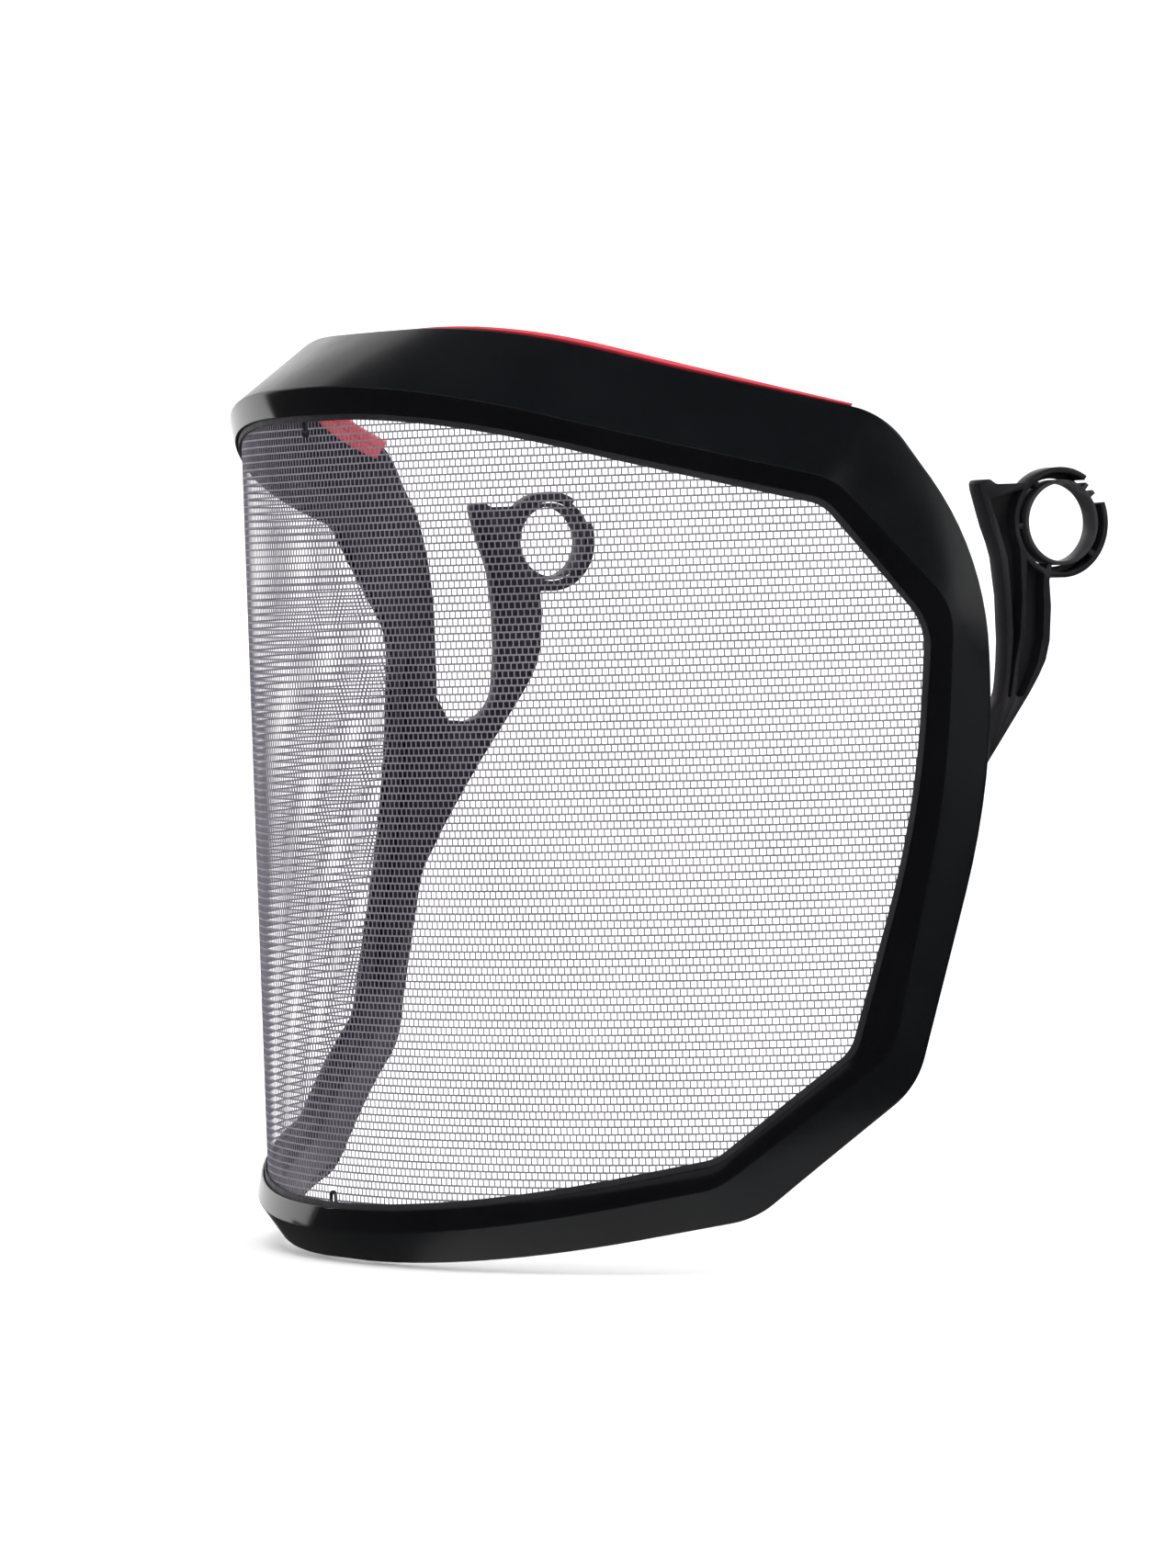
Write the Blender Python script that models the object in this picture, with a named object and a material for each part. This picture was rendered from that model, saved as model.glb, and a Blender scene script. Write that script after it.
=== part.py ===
"""Mesh face visor: a curved mesh screen clamped between an outer bezel and an inner carrier, with two arms.

Frame: the origin is the middle of the pivot axis, +X is the wearer's left, -Y is the front and +Z is up.
The screen is bent to an upright cylinder, so most pieces are drawn on that cylinder unrolled: s runs round
it from the front centre, z runs up, and r is the distance from the cylinder's axis. Sizes are millimetres.
"""

import math

import bmesh
import bpy
from mathutils import Matrix, Vector
from mathutils.geometry import intersect_line_line_2d

MM = 0.001
GAP = 0.3

# The cylinder that the screen is bent to, and the radius at which s is measured.
AXIS_Y = 6.9
UNROLL_RADIUS = 120.3

# Radii of the layers, from the inside out.
CARRIER_INNER = 117.3
CARRIER_OUTER = 119.3
MESH_INNER = 119.55
MESH_OUTER = 120.05
GASKET_INNER = 120.25
GASKET_OUTER = 120.7
LIP_INNER = 120.9
LIP_OUTER = 121.4
RIDGE_RADIUS = 122.3

# How far each layer reaches out from the window's edge, and the bezel's wall.
LIP_START = 1.3
GASKET_WIDTH = 5.2
MESH_EDGE = 4.9
CARRIER_START = 0.6
LIP_STEP = 5.8
BEZEL_WALL = 2.0
CARRIER_WALL = 2.0
WALL_GAP = 0.4
CARRIER_SHORT = 1.0

# Half outlines in the unrolled plane: top and bottom on the centre line, and (s, z, fillet radius) corners.
WINDOW_TOP, WINDOW_BOTTOM = 25.7, -132.9
WINDOW_CORNERS = [(42.3, 25.7, 260), (125.3, 5.0, 8), (144.6, -19.1, 12), (141.6, -55.5, 200),
                  (127.2, -102.0, 8), (100.0, -122.5, 10), (42.5, -132.9, 450)]
RIDGE_TOP, RIDGE_BOTTOM = 32.6, -138.6
RIDGE_CORNERS = [(39.5, 32.6, 260), (127.6, 10.1, 14), (150.2, -15.7, 14), (147.8, -49.0, 200),
                 (135.5, -102.7, 12), (100.4, -128.3, 14), (41.0, -138.6, 450)]
RIM_TOP, RIM_BOTTOM = 44.0, -145.0
RIM_CORNERS = [(50.0, 44.0, 260), (139.2, 22.8, 18), (158.4, -6.0, 60), (157.4, -49.8, 180),
               (140.6, -109.7, 18), (107.0, -135.2, 20), (46.0, -145.0, 450)]
RIM_RADII = [105.0, 106.3, 115.0, 118.3, 121.2, 119.3, 116.5, 117.5, 118.0]

# Points along each straight run and each fillet, so that every outline has the same count.
RUN_STEPS = [2, 12, 4, 3, 6, 5, 8, 2]
FILLET_STEPS = [8, 4, 4, 3, 4, 4, 8]

# Arms: blades at the sides of the head, seen from the side as (y, z).
ARM_INNER_X, ARM_OUTER_X = 101.8, 106.2
ARM_FLOOR = 1.3
ROOT_TRIM_RADIUS = 116.3
ROOT_REACH_X = 113.0
EYE_RADIUS, EYE_BORE, EYE_FLOOR_BORE = 11.0, 10.0, 8.75
EYE_FLOOR = 0.8
EYE_GAP_ANGLES = (20, 55)
PAD_ANGLES = (125, 183, 250, 318)
PAD_HALF_ANGLE = 3.3
PAD_TIP = 8.7
BLADE = [(-18.8, 8.9), (-16.4, 9.0), (-15.0, 8.0), (-6.5, 8.0), (-2.0, -8.0), (-3.3, -11.4), (-3.1, -16.6),
         (-3.7, -23.4), (-4.8, -27.2), (-6.5, -30.2), (-9.0, -33.8), (-14.0, -40.2), (-18.6, -46.2),
         (-23.8, -53.3), (-29.0, -60.9)]
ROOT_REAR = [(-34.8, -70.3), (-39.5, -82.0), (-42.6, -92.0), (-46.2, -100.5)]
ROOT_FRONT_INNER = [(-45.6, -92.0), (-42.6, -82.0), (-37.5, -68.0), (-32.3, -56.0), (-30.0, -46.0),
                    (-27.6, -39.6)]
ROOT_FRONT_OUTER = [(-50.6, -92.0), (-47.1, -82.0), (-42.1, -68.0), (-38.6, -56.0), (-37.6, -42.0),
                    (-34.6, -11.6)]
BLADE_FRONT = [(-13.9, -27.0), (-13.6, -23.0), (-13.7, -14.0), (-14.5, -6.5), (-15.3, -3.6), (-16.5, -0.4),
               (-17.5, 3.0), (-18.6, 7.0)]
BLADE_RELIEF = [(-24.2, -28.0), (-24.5, -39.5), (-25.5, -52.0), (-31.0, -66.0), (-20.0, -80.0),
                (20.0, -30.0), (20.0, 20.0), (-24.2, 20.0)]
SLOT_CENTRE, SLOT_RADIUS = (-23.0, -30.4), 8.6
SLOT_ANGLES = (252, 352)
# Pockets in the blade's outer side; each runs along the eye's wall between its two angles.
FRONT_POCKET = [(-9.8, -9.0), (-9.8, -14.0), (-10.5, -22.0), (-12.0, -27.8), (-13.3, -34.3), (-14.0, -34.3),
                (-12.9, -27.8), (-12.2, -22.0), (-12.4, -14.0), (-13.0, -6.5), (-14.8, -0.4), (-16.0, 3.0),
                (-16.9, 6.9)]
FRONT_POCKET_ANGLES = (141, 206)
REAR_POCKET = [(-4.8, -12.0), (-4.8, -16.6), (-5.2, -22.4), (-6.7, -27.8), (-9.6, -33.0), (-10.4, -34.3),
               (-12.1, -34.3), (-11.1, -27.8), (-9.3, -22.0), (-8.9, -14.0)]
REAR_POCKET_ANGLES = (220, 246)

# Bushes that turn in the eyes.
BUSH_BORE, BUSH_RADIUS = 7.75, 8.5
BUSH_INNER_X, BUSH_OUTER_X = 101.9, 106.4
TOOTH_INNER_X = 103.0
TOOTH_ANGLES = (37, 50)
TOOTH_HALF_ANGLE = 2.6
TOOTH_TIP = 9.75

# Screws that hold each arm's root to the carrier, as (s, z) on the cylinder.
SCREW_PLACES = {"upper": (150.5, -45.0), "lower": (146.0, -66.0)}
SCREW_HEAD_RADIUS, SCREW_HEAD_DEPTH = 2.4, 1.4
SCREW_SHANK_RADIUS, SCREW_LENGTH = 1.3, 8.5
SCREW_TOP = 119.15

# The seal clips over the brow, from the centre to just short of the upper corner.
SEAL_STATIONS = 23
SEAL_FULL = [(0.35, 0.1), (1.3, 0.1), (1.7, 0.7), (1.7, 5.4), (1.2, 5.9), (-3.6, 5.9), (-3.6, 4.8),
             (0.35, 4.8)]
SEAL_SLIM = [(0.35, 0.9), (0.8, 0.9), (1.0, 1.4), (1.0, 5.4), (0.7, 5.9), (-3.6, 5.9), (-3.6, 4.8),
             (0.35, 4.8)]
SEAL_SWELL_START = 20.0


# ---------------------------------------------------------------- scene set-up

def clear_scene():
    for obj in list(bpy.data.objects):
        bpy.data.objects.remove(obj, do_unlink=True)


def make_collection(name, hidden=False):
    collection = bpy.data.collections.new(name)
    bpy.context.scene.collection.children.link(collection)
    collection.hide_render = hidden
    return collection


def make_material(name, colour, roughness, metallic=0.0):
    material = bpy.data.materials.new(name)
    material.use_nodes = True
    shader = material.node_tree.nodes["Principled BSDF"]
    shader.inputs["Base Color"].default_value = (*colour, 1.0)
    shader.inputs["Roughness"].default_value = roughness
    shader.inputs["Metallic"].default_value = metallic
    return material


def add_object(name, mesh, material, collection):
    obj = bpy.data.objects.new(name, mesh)
    collection.objects.link(obj)
    if material:
        mesh.materials.clear()
        mesh.materials.append(material)
        mesh.shade_smooth()
        mesh.set_sharp_from_angle(angle=math.radians(30))
    return obj


def mesh_from(name, bm):
    """Faces turned outward, then written to a new mesh."""
    bmesh.ops.recalc_face_normals(bm, faces=bm.faces)
    mesh = bpy.data.meshes.new(name)
    bm.to_mesh(mesh)
    bm.free()
    return mesh


# ---------------------------------------------------------------- outlines

def corner_arc(before, corner, after, radius, steps):
    """Points round one fillet, from its first tangent point to its last."""
    to_before = (before - corner).normalized()
    to_after = (after - corner).normalized()
    half = to_before.angle(to_after) / 2
    reach = radius / math.tan(half)
    bisector = (to_before + to_after).normalized()
    centre = corner + bisector * (radius / math.sin(half))
    start = corner + to_before * reach - centre
    end = corner + to_after * reach - centre
    sweep = start.angle_signed(end)
    return [centre + Matrix.Rotation(-sweep * k / steps, 2) @ start for k in range(steps + 1)]


def half_outline(top, corners, bottom):
    """The outline from top centre to bottom centre, with the same number of points for every outline."""
    points = [Vector((0, top))] + [Vector(c[:2]) for c in corners] + [Vector((0, bottom))]
    runs = [[points[0]]]
    for k, (_, _, radius) in enumerate(corners):
        runs.append(corner_arc(points[k], points[k + 1], points[k + 2], radius, FILLET_STEPS[k]))
    runs.append([points[-1]])
    outline = list(runs[0])
    for k, steps in enumerate(RUN_STEPS):
        start, end = runs[k][-1], runs[k + 1][0]
        outline += [start.lerp(end, j / steps) for j in range(1, steps)]
        outline += runs[k + 1]
    return outline


def corner_indices():
    """Where the centre of each fillet, and the two ends, fall in a half outline."""
    indices, at = [0], 0
    for k, steps in enumerate(FILLET_STEPS):
        at += RUN_STEPS[k]
        indices.append(at + steps / 2)
        at += steps
    indices.append(at + RUN_STEPS[-1])
    return indices


def blend_along(values, line):
    """Values at the ends and fillets of an outline, carried to each of its points by a smooth curve."""
    lengths = [0.0]
    for here, there in zip(line, line[1:]):
        lengths.append(lengths[-1] + (there - here).length)
    knots = [lengths[int(i)] for i in corner_indices()]
    slopes = [0.0]
    for k in range(1, len(knots) - 1):
        slopes.append((values[k + 1] - values[k - 1]) / (knots[k + 1] - knots[k - 1]))
    slopes.append(0.0)
    result = []
    for length in lengths:
        k = max(j for j in range(len(knots) - 1) if knots[j] <= length)
        span = knots[k + 1] - knots[k]
        t = (length - knots[k]) / span
        rise = values[k] + (values[k + 1] - values[k]) * t * t * (3 - 2 * t)
        result.append(rise + span * t * (1 - t) * (slopes[k] * (1 - t) - slopes[k + 1] * t))
    return result


def crossing(start, end, line):
    """How far from start the segment to end crosses a line of points."""
    for here, there in zip(line, line[1:]):
        hit = intersect_line_line_2d(start, end, here, there)
        if hit:
            return (hit - start).length
    raise ValueError("the ridge isn't between the window and the rim")


class Station:
    """One cross-section of the frame: t runs out from the window's edge to the rim, r is the radius."""

    def __init__(self, window, rim, rim_radius, ridge_line):
        self.window = window
        self.direction = (rim - window).normalized()
        self.ridge = Vector((crossing(window, rim, ridge_line), RIDGE_RADIUS))
        self.rim = Vector(((rim - window).length, rim_radius))
        self.along = (self.rim - self.ridge).normalized()
        self.inward = Vector((self.along.y, -self.along.x))

    def rim_reach(self):
        """How far round from the centre the rim is."""
        return (self.window + self.direction * self.rim.x).x

    def beyond_rim(self, a, b):
        """A point a past the rim along the outer facet, and b inward from it."""
        return self.rim + self.along * a + self.inward * b

    def at_radius(self, depth, radius):
        """Where the line at this depth under the outer facet reaches the radius."""
        start = self.ridge + self.inward * depth
        return start + self.along * ((radius - start.y) / self.along.y)

    def place(self, point, side=1):
        s, z = self.window + self.direction * point.x
        return wrap(side * s, z, point.y)


def wrap(s, z, r):
    angle = s / UNROLL_RADIUS
    return Vector((r * math.sin(angle), AXIS_Y - r * math.cos(angle), z)) * MM


def make_stations():
    window = half_outline(WINDOW_TOP, WINDOW_CORNERS, WINDOW_BOTTOM)
    ridge = half_outline(RIDGE_TOP, RIDGE_CORNERS, RIDGE_BOTTOM)
    rim = half_outline(RIM_TOP, RIM_CORNERS, RIM_BOTTOM)
    ridge_line = [ridge[1] * Vector((-1, 1))] + ridge + [ridge[-2] * Vector((-1, 1))]
    radii = blend_along(RIM_RADII, rim)
    return [Station(*parts, ridge_line) for parts in zip(window, rim, radii)]


# ---------------------------------------------------------------- lofted pieces

def skin(bm, sections, closed):
    """Joins neighbouring sections, each a closed polygon, with quads."""
    count = len(sections)
    for i in range(count if closed else count - 1):
        here, there = sections[i], sections[(i + 1) % count]
        for j in range(len(here)):
            k = (j + 1) % len(here)
            bm.faces.new((here[j], here[k], there[k], there[j]))


def full_ring(stations, section):
    """Places a section at every station, down one side and up the other, as lists of points."""
    left = [[st.place(p, 1) for p in section(st)] for st in stations]
    right = [[st.place(p, -1) for p in section(st)] for st in stations]
    return left + right[-2:0:-1]


def ring_piece(name, stations, section, material, collection):
    bm = bmesh.new()
    rings = [[bm.verts.new(p) for p in points] for points in full_ring(stations, section)]
    skin(bm, rings, closed=True)
    return add_object(name, mesh_from(name, bm), material, collection)


def bezel_section(st):
    return [Vector((LIP_START, LIP_OUTER)), st.ridge, st.rim, st.beyond_rim(0, BEZEL_WALL),
            Vector((LIP_STEP, LIP_INNER)), Vector((LIP_START, LIP_INNER))]


def carrier_section(st):
    outer = BEZEL_WALL + WALL_GAP
    inner = outer + CARRIER_WALL
    return [Vector((CARRIER_START, CARRIER_OUTER)), st.at_radius(outer, CARRIER_OUTER),
            st.beyond_rim(-CARRIER_SHORT, outer), st.beyond_rim(-CARRIER_SHORT, inner),
            st.at_radius(inner, CARRIER_INNER), Vector((CARRIER_START, CARRIER_INNER))]


def gasket_section(st):
    return [Vector((0, GASKET_OUTER)), Vector((GASKET_WIDTH, GASKET_OUTER)),
            Vector((GASKET_WIDTH, GASKET_INNER)), Vector((0, GASKET_INNER))]


def height_at(edge, s):
    """The height of an edge, a list of (s, z) with s rising, at one s."""
    for here, there in zip(edge, edge[1:]):
        if here.x <= s <= there.x:
            return here.y + (there.y - here.y) * (s - here.x) / max(there.x - here.x, 1e-9)
    return edge[-1].y


def mesh_screen(stations, material, collection):
    """A thin sheet that reaches under the bezel, drawn as upright strips round the cylinder."""
    edge = [st.window + st.direction * MESH_EDGE for st in stations]
    widest = max(range(len(edge)), key=lambda i: edge[i].x)
    upper = edge[:widest + 1]
    lower = edge[:widest - 1:-1]
    half_width = edge[widest].x - 0.2
    strips = 96
    columns = []
    bm = bmesh.new()
    for k in range(strips + 1):
        s = half_width * (2 * k / strips - 1)
        high, low = height_at(upper, abs(s)), height_at(lower, abs(s))
        corners = [(high, MESH_OUTER), (low, MESH_OUTER), (low, MESH_INNER), (high, MESH_INNER)]
        columns.append([bm.verts.new(wrap(s, z, r)) for z, r in corners])
    skin(bm, columns, closed=False)
    bm.faces.new(columns[0])
    bm.faces.new(columns[-1])
    return add_object("mesh_screen", mesh_from("mesh_screen", bm), material, collection)


def seal_section(st, end):
    """Slim at the middle and the ends of the seal, and full between them."""
    share = (st.rim_reach() - SEAL_SWELL_START) / (end - SEAL_SWELL_START)
    swell = math.sin(math.pi * max(share, 0.0))
    corners = [Vector(slim).lerp(Vector(full), swell) for slim, full in zip(SEAL_SLIM, SEAL_FULL)]
    return [st.beyond_rim(*corner) for corner in corners]


def brow_seal(stations, material, collection):
    run = stations[:SEAL_STATIONS]
    section = [seal_section(st, run[-1].rim_reach()) for st in run]
    left = [[st.place(p, 1) for p in points] for st, points in zip(run, section)]
    right = [[st.place(p, -1) for p in points] for st, points in zip(run, section)]
    bm = bmesh.new()
    rings = [[bm.verts.new(p) for p in points] for points in right[:0:-1] + left]
    skin(bm, rings, closed=False)
    bm.faces.new(rings[0])
    bm.faces.new(rings[-1])
    return add_object("brow_seal", mesh_from("brow_seal", bm), material, collection)


# ---------------------------------------------------------------- arms, bushes and screws

def polar(radius, degrees):
    return (radius * math.cos(math.radians(degrees)), radius * math.sin(math.radians(degrees)))


def arc(centre, radius, start, end, steps):
    angles = [start + (end - start) * k / steps for k in range(steps + 1)]
    return [(centre[0] + polar(radius, a)[0], centre[1] + polar(radius, a)[1]) for a in angles]


def sector(inner, outer, start, end):
    steps = max(2, int((end - start) / 5))
    return arc((0, 0), outer, start, end, steps) + arc((0, 0), inner, end, start, steps)


def side_plate(name, outline, x_near, x_far, side):
    """A (y, z) outline, as thick as the two x values are apart, on one side of the head; a welded mesh."""
    curve = bpy.data.curves.new(name, "CURVE")
    curve.dimensions = "2D"
    curve.fill_mode = "BOTH"
    curve.extrude = (x_far - x_near) / 2 * MM
    spline = curve.splines.new("POLY")
    spline.points.add(len(outline) - 1)
    for point, (y, z) in zip(spline.points, outline):
        point.co = (y * MM, z * MM, 0, 1)
    spline.use_cyclic_u = True
    obj = bpy.data.objects.new(name, curve)
    bpy.context.scene.collection.objects.link(obj)
    middle = side * (x_near + x_far) / 2 * MM
    obj.matrix_world = Matrix(((0, 0, 1, middle), (1, 0, 0, 0), (0, 1, 0, 0), (0, 0, 0, 1)))
    bpy.context.view_layer.update()
    evaluated = obj.evaluated_get(bpy.context.evaluated_depsgraph_get())
    mesh = bpy.data.meshes.new_from_object(evaluated)
    mesh.transform(obj.matrix_world)
    bpy.data.objects.remove(obj, do_unlink=True)
    bm = bmesh.new()
    bm.from_mesh(mesh)
    bmesh.ops.remove_doubles(bm, verts=bm.verts, dist=0.00001)
    bpy.data.meshes.remove(mesh)
    return mesh_from(name, bm)


def lofted_plate(name, near, far, x_near, x_far, side):
    """A body between two unlike (y, z) outlines that have the same number of points."""
    bm = bmesh.new()
    inner = [bm.verts.new((side * x_near * MM, y * MM, z * MM)) for y, z in near]
    outer = [bm.verts.new((side * x_far * MM, y * MM, z * MM)) for y, z in far]
    bm.faces.new(inner)
    bm.faces.new(outer)
    for k in range(len(inner)):
        j = (k + 1) % len(inner)
        bm.faces.new((inner[k], inner[j], outer[j]))
        bm.faces.new((inner[k], outer[j], outer[k]))
    return mesh_from(name, bm)


def side_disc(name, radius, x_near, x_far, side, segments=64):
    """A round disc on the pivot axis."""
    bm = bmesh.new()
    bmesh.ops.create_cone(bm, cap_ends=True, segments=segments, radius1=radius * MM, radius2=radius * MM,
                          depth=(x_far - x_near) * MM)
    middle = side * (x_near + x_far) / 2 * MM
    turn = Matrix.Translation((middle, 0, 0)) @ Matrix.Rotation(math.pi / 2, 4, "Y")
    bmesh.ops.transform(bm, matrix=turn, verts=bm.verts)
    return mesh_from(name, bm)


def cutter(mesh, cutters):
    obj = add_object(mesh.name, mesh, None, cutters)
    obj.hide_render = True
    obj.display_type = "WIRE"
    return obj


def combine(target, mesh, operation, cutters):
    modifier = target.modifiers.new(mesh.name, "BOOLEAN")
    modifier.operation = operation
    modifier.solver = "EXACT"
    modifier.object = cutter(mesh, cutters)


def arm(name, side, material, collection, cutters):
    inner, outer = ARM_INNER_X, ARM_OUTER_X
    floor = inner + ARM_FLOOR
    slot = arc(SLOT_CENTRE, SLOT_RADIUS, *SLOT_ANGLES, 8)
    near = BLADE + ROOT_REAR + ROOT_FRONT_INNER + slot + BLADE_FRONT
    far = BLADE + ROOT_REAR + ROOT_FRONT_OUTER + slot + BLADE_FRONT
    blank = lofted_plate(name, near, far, inner, ROOT_REACH_X, side)
    body = add_object(name, blank, material, collection)
    relief = side_plate(name + "_relief", BLADE_RELIEF, outer, ROOT_REACH_X + 1, side)
    combine(body, relief, "DIFFERENCE", cutters)
    combine(body, side_disc(name + "_eye", EYE_RADIUS, inner, outer, side), "UNION", cutters)
    combine(body, trim_cylinder(name + "_trim"), "INTERSECT", cutters)
    pockets = {"front": (FRONT_POCKET, FRONT_POCKET_ANGLES), "rear": (REAR_POCKET, REAR_POCKET_ANGLES)}
    for label, (pocket, angles) in pockets.items():
        pocket = arc((0, 0), EYE_RADIUS, *angles, 6) + pocket
        pocket_cutter = side_plate(f"{name}_{label}_pocket", pocket, floor, outer + 1, side)
        combine(body, pocket_cutter, "DIFFERENCE", cutters)
    seat = side_disc(name + "_seat", EYE_BORE, inner + EYE_FLOOR, outer + 1, side)
    combine(body, seat, "DIFFERENCE", cutters)
    combine(body, side_disc(name + "_hole", EYE_FLOOR_BORE, inner - 1, outer, side), "DIFFERENCE", cutters)
    gap = sector(EYE_BORE - 0.1, EYE_RADIUS + 2, *EYE_GAP_ANGLES)
    combine(body, side_plate(name + "_gap", gap, inner - 1, outer + 1, side), "DIFFERENCE", cutters)
    for k, angle in enumerate(PAD_ANGLES):
        pad = sector(PAD_TIP, EYE_BORE + 0.5, angle - PAD_HALF_ANGLE, angle + PAD_HALF_ANGLE)
        combine(body, side_plate(f"{name}_pad_{k}", pad, inner + 0.2, outer, side), "UNION", cutters)
    for label, place in SCREW_PLACES.items():
        combine(body, screw_mesh(f"{name}_{label}_hole", place, side, GAP), "DIFFERENCE", cutters)
    return body


def trim_cylinder(name):
    """Everything inside the carrier's inner face."""
    bm = bmesh.new()
    bmesh.ops.create_cone(bm, cap_ends=True, segments=128, radius1=ROOT_TRIM_RADIUS * MM,
                          radius2=ROOT_TRIM_RADIUS * MM, depth=300 * MM)
    bmesh.ops.translate(bm, verts=bm.verts, vec=(0, AXIS_Y * MM, -50 * MM))
    return mesh_from(name, bm)


def bush(name, side, material, collection, cutters):
    """The plain ring that the helmet's stud holds, with two stop teeth, origin on the pivot axis."""
    inner, outer = BUSH_INNER_X, BUSH_OUTER_X
    body = add_object(name, side_disc(name, BUSH_RADIUS, inner, outer, side), material, collection)
    for k, angle in enumerate(TOOTH_ANGLES):
        tooth = sector(BUSH_RADIUS - 0.4, TOOTH_TIP, angle - TOOTH_HALF_ANGLE, angle + TOOTH_HALF_ANGLE)
        combine(body, side_plate(f"{name}_tooth_{k}", tooth, TOOTH_INNER_X, outer, side), "UNION", cutters)
    combine(body, side_disc(name + "_bore", BUSH_BORE, inner - 1, outer + 1, side), "DIFFERENCE", cutters)
    return body


def screw_mesh(name, place, side, clearance=0.0):
    """A countersunk screw along a radius, head outward; with a clearance it is the hole for one."""
    head, shank = SCREW_HEAD_RADIUS + clearance, SCREW_SHANK_RADIUS + clearance
    top = 2.0 if clearance else 0.0
    tip = -SCREW_LENGTH - clearance
    profile = [(0, top), (head, top), (head, -0.3), (shank, -SCREW_HEAD_DEPTH), (shank, tip + 1.0), (0, tip)]
    bm = bmesh.new()
    verts = [bm.verts.new((x * MM, 0, z * MM)) for x, z in profile]
    edges = [bm.edges.new(pair) for pair in zip(verts, verts[1:])]
    bmesh.ops.spin(bm, geom=verts + edges, axis=(0, 0, 1), cent=(0, 0, 0), angle=2 * math.pi, steps=24)
    bmesh.ops.remove_doubles(bm, verts=bm.verts, dist=0.00001)
    s, z = place
    outward = (wrap(side * s, z, SCREW_TOP) - wrap(side * s, z, 0)).normalized()
    turn = outward.to_track_quat("Z", "Y").to_matrix().to_4x4()
    turn.translation = wrap(side * s, z, SCREW_TOP)
    bmesh.ops.transform(bm, matrix=turn, verts=bm.verts)
    return mesh_from(name, bm)


def screws_and_holes(carrier, material, collection, cutters):
    for side, hand in ((1, "left"), (-1, "right")):
        for label, place in SCREW_PLACES.items():
            name = f"arm_screw_{hand}_{label}"
            combine(carrier, screw_mesh(name + "_clear", place, side, GAP), "DIFFERENCE", cutters)
            add_object(name, screw_mesh(name, place, side), material, collection)


def build():
    clear_scene()
    parts = make_collection("mesh_face_visor")
    cutters = make_collection("cutters", hidden=True)
    satin_black = make_material("satin_black_plastic", (0.012, 0.012, 0.014), 0.35)
    matt_black = make_material("matt_black_plastic", (0.018, 0.018, 0.021), 0.5)
    bush_black = make_material("bush_plastic", (0.03, 0.03, 0.033), 0.42)
    gasket_grey = make_material("gasket_rubber", (0.05, 0.045, 0.055), 0.6)
    seal_red = make_material("red_rubber", (0.6, 0.05, 0.07), 0.5)
    mesh_grey = make_material("etched_mesh", (0.3, 0.3, 0.32), 0.4, 0.8)
    steel = make_material("zinc_steel", (0.45, 0.45, 0.45), 0.3, 1.0)

    stations = make_stations()
    ring_piece("outer_bezel", stations, bezel_section, satin_black, parts)
    carrier = ring_piece("carrier_frame", stations, carrier_section, matt_black, parts)
    ring_piece("mesh_gasket", stations, gasket_section, gasket_grey, parts)
    mesh_screen(stations, mesh_grey, parts)
    brow_seal(stations, seal_red, parts)
    for side, hand in ((1, "left"), (-1, "right")):
        arm(f"arm_{hand}", side, matt_black, parts, cutters)
        bush(f"pivot_bush_{hand}", side, bush_black, parts, cutters)
    screws_and_holes(carrier, steel, parts, cutters)


build()
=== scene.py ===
"""How the mesh face visor looks: fine models of every piece, their finishes, and a plain white studio."""

import math

import bmesh
import bpy
from mathutils import Matrix, Vector
from mathutils.geometry import intersect_line_line_2d

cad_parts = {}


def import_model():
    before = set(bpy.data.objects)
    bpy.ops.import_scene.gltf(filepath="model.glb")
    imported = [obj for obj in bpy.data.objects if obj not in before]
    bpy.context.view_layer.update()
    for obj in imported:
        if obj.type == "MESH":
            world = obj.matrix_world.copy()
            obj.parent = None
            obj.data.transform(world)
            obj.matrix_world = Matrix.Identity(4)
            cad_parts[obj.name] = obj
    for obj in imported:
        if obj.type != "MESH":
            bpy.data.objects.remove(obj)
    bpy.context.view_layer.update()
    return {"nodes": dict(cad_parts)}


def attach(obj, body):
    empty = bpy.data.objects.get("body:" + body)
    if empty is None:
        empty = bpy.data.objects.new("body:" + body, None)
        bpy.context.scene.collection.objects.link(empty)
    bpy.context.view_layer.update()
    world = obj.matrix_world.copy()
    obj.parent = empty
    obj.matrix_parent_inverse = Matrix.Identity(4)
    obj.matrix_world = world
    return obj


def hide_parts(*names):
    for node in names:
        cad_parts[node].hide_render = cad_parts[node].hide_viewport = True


MM = 0.001

# The upright cylinder that the screen is bent to. s runs round it, z up, and r out from its axis.
AXIS_Y = 6.9
UNROLL_RADIUS = 120.3

# Half outlines: top and bottom on the centre line, and corners as (s, z, fillet radius).
WINDOW = (25.7, [(42.3, 25.7, 260), (125.3, 5.0, 8), (144.6, -19.1, 12), (141.6, -55.5, 200),
                 (127.2, -102.0, 8), (100.0, -122.5, 10), (42.5, -132.9, 450)], -132.9)
RIDGE = (32.6, [(39.5, 32.6, 260), (127.6, 10.1, 14), (150.2, -15.7, 14), (147.8, -49.0, 200),
                (135.5, -102.7, 12), (100.4, -128.3, 14), (41.0, -138.6, 450)], -138.6)
RIM = (44.0, [(50.0, 44.0, 260), (139.2, 22.8, 18), (158.4, -6.0, 60), (157.4, -49.8, 180),
              (140.6, -109.7, 18), (107.0, -135.2, 20), (46.0, -145.0, 450)], -145.0)
# The rim's radius at the top, at each corner and at the bottom.
RIM_RADII = [105.0, 106.3, 115.0, 118.3, 121.2, 119.3, 116.5, 117.5, 118.0]

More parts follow.
